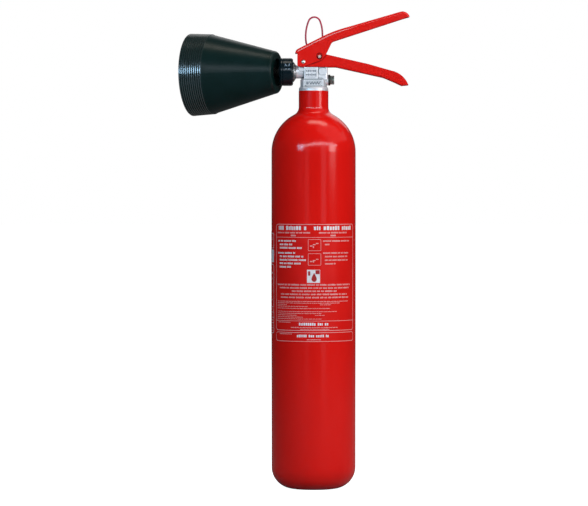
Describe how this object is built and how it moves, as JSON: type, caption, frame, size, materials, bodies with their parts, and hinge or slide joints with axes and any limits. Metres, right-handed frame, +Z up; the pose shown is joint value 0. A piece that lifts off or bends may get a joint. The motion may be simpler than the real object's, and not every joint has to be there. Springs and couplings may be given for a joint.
{
  "type": "carbon dioxide fire extinguisher",
  "caption": "Slim steel cylinder with a plated squeeze-grip valve, locking pin with pull ring, carrying handle and a black discharge horn on a ball swivel",
  "frame": {"origin": "centre of the foot ring, on the surface it stands on", "axes": "+Z up along the cylinder, +X to the carrying handle and -X to the horn, +Y to the back"},
  "size_m": [0.2796, 0.1355, 0.5776],
  "materials": {
    "red_paint": "glossy red coat on steel",
    "red_enamel": "glossy red powder coat on pressed steel",
    "label_film": "thin printed film, red ground",
    "black_rubber": "matte",
    "plated_brass": "satin nickel plate on forged brass",
    "plain_brass": "turned",
    "black_brass": "turned and blackened",
    "seat_plastic": "white engineering plastic",
    "liner_plastic": "black engineering plastic",
    "tube_aluminium": "drawn",
    "spring_steel": "drawn wire",
    "stem_steel": "ground stainless steel",
    "rivet_steel": "bright zinc plate",
    "dark_washer": "blackened",
    "plug_metal": "nickel plate, slightly dull",
    "nipple_brass": "plated, darkened",
    "collar_plastic": "moulded black",
    "horn_plastic": "moulded black, satin",
    "ring_coating": "dark red dipped coating on wire"
  },
  "bodies": {
    "body": {"cylinder_shell": "red_paint", "front_label": "label_film", "side_label": "label_film", "neck_seal": "black_rubber", "valve_body": "plated_brass", "seat_ring": "seat_plastic", "spring_cap": "plain_brass", "dip_tube": "tube_aluminium", "valve_spring": "spring_steel", "stem_o_ring": "black_rubber", "gland_nut": "plated_brass", "burst_disc": "spring_steel", "burst_washer": "dark_washer", "burst_plug": "plug_metal", "outlet_nipple": "nipple_brass", "outlet_seal": "black_rubber", "swivel_collar": "collar_plastic", "ball_seat": "seat_plastic", "carrying_handle": "red_enamel", "pivot_rivet": "rivet_steel", "rivet_washer": "rivet_steel"},
    "lever": {"squeeze_lever": "red_enamel"},
    "stem": {"valve_stem": "stem_steel", "stem_seal": "seat_plastic"},
    "pin": {"safety_pin": "stem_steel"},
    "ring": {"pull_ring": "ring_coating"},
    "swivel": {"swivel_liner": "liner_plastic"},
    "horn": {"swivel_ball": "black_brass", "horn_shell": "horn_plastic", "horn_nozzle": "plain_brass"}
  },
  "joints": [
    {"name": "lever_squeeze", "type": "hinge", "parent": "body", "child": "lever", "pos_m": [-0.0125, 0, 0.5167], "axis": [0, 1, 0], "range_deg": [0, 8]},
    {"name": "stem_press", "type": "slide", "parent": "body", "child": "stem", "axis": [0, 0, -1], "range_m": [0, 0.003], "stiffness_N_per_m": 1500, "springref_m": -0.006, "deforming": ["valve_spring"]},
    {"name": "pin_pull", "type": "slide", "parent": "body", "child": "pin", "axis": [0, 1, 0], "range_m": [0, 0.045]},
    {"name": "ring_swing", "type": "hinge", "parent": "pin", "child": "ring", "pos_m": [0.0072, 0.0175, 0.523], "axis": [1, 0, 0], "range_deg": [-150, 3]},
    {"name": "horn_turn", "type": "hinge", "parent": "body", "child": "swivel", "pos_m": [-0.035, 0, 0.5048], "axis": [0, 0, 1], "range_deg": [-2, 38]},
    {"name": "horn_tilt", "type": "hinge", "parent": "swivel", "child": "horn", "pos_m": [-0.035, 0, 0.5048], "axis": [0.309, 0.9511, 0], "range_deg": [-12, 16]}
  ],
  "couplings": [
    {"joint": "stem_press", "follows": "lever_squeeze", "m_per_rad": 0.0195}
  ]
}
